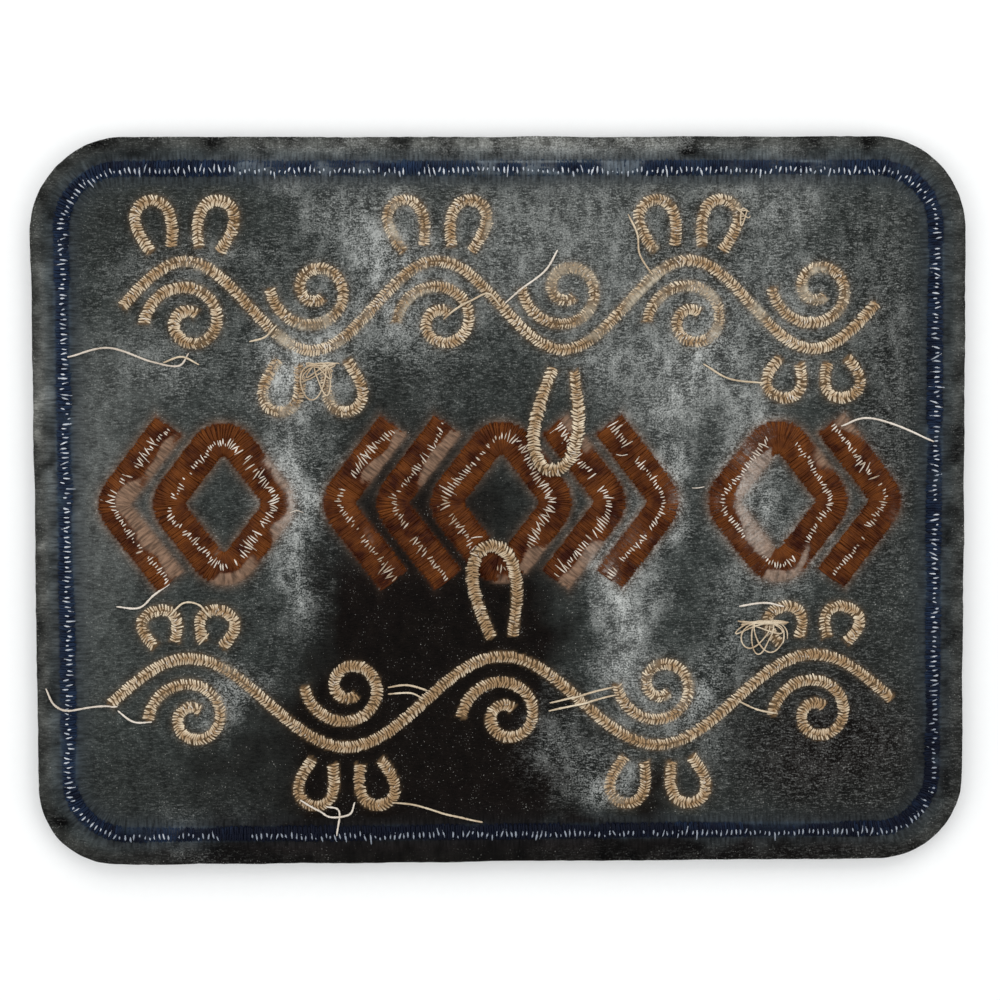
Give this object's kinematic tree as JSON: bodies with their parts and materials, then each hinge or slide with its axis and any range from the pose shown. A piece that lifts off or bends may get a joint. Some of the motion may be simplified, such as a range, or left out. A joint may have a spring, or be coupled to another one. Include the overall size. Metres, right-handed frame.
{
  "type": "iron-on patch",
  "caption": "Rounded rectangular embroidered iron-on patch lying on its face, adhesive back up, with a satin border, a lozenge and chevron frieze and scrolling vines.",
  "frame": {"origin": "centre of the patch in plan, at the front border's crown, which it rests on", "axes": "+X along the long edges and +Y along the short ones as seen from the back, +Z out of the adhesive side"},
  "size_m": [0.082, 0.064, 0.0027],
  "materials": {
    "twill": "dark polyester twill with stabiliser, cut hot along the edge",
    "hot_melt_film": "thin hot-melt film over dark twill, satin sheen in patches",
    "navy_thread": "polyester embroidery thread, soft sheen, with white bobbin ticks",
    "brown_thread": "polyester embroidery thread, soft sheen, with white bobbin ticks",
    "tan_thread": "polyester embroidery thread, soft sheen"
  },
  "bodies": {
    "root": {"ground_cloth": "twill", "adhesive_film": "hot_melt_film", "border_stitching": "navy_thread", "lozenge_left": "brown_thread", "lozenge_middle": "brown_thread", "lozenge_right": "brown_thread", "chevron_far_left": "brown_thread", "chevron_left_outer": "brown_thread", "chevron_left_inner": "brown_thread", "chevron_right_inner": "brown_thread", "chevron_right_outer": "brown_thread", "chevron_far_right": "brown_thread", "stem_upper": "tan_thread", "curl_upper_1": "tan_thread", "curl_upper_2": "tan_thread", "curl_upper_3": "tan_thread", "curl_upper_4": "tan_thread", "curl_upper_5": "tan_thread", "curl_upper_6": "tan_thread", "leaf_upper_1a": "tan_thread", "leaf_upper_1b": "tan_thread", "leaf_upper_2a": "tan_thread", "leaf_upper_2b": "tan_thread", "leaf_upper_3a": "tan_thread", "leaf_upper_3b": "tan_thread", "leaf_upper_4_long": "tan_thread", "leaf_upper_5a": "tan_thread", "leaf_upper_5b": "tan_thread", "leaf_upper_6a": "tan_thread", "leaf_upper_6b": "tan_thread", "stem_lower": "tan_thread", "curl_lower_1": "tan_thread", "curl_lower_2": "tan_thread", "curl_lower_3": "tan_thread", "curl_lower_4": "tan_thread", "curl_lower_5": "tan_thread", "leaf_lower_1a": "tan_thread", "leaf_lower_1b": "tan_thread", "leaf_lower_2a": "tan_thread", "leaf_lower_2b": "tan_thread", "leaf_lower_3_long": "tan_thread", "leaf_lower_4a": "tan_thread", "leaf_lower_4b": "tan_thread", "leaf_lower_5a": "tan_thread", "leaf_lower_5b": "tan_thread"}
  },
  "joints": []
}
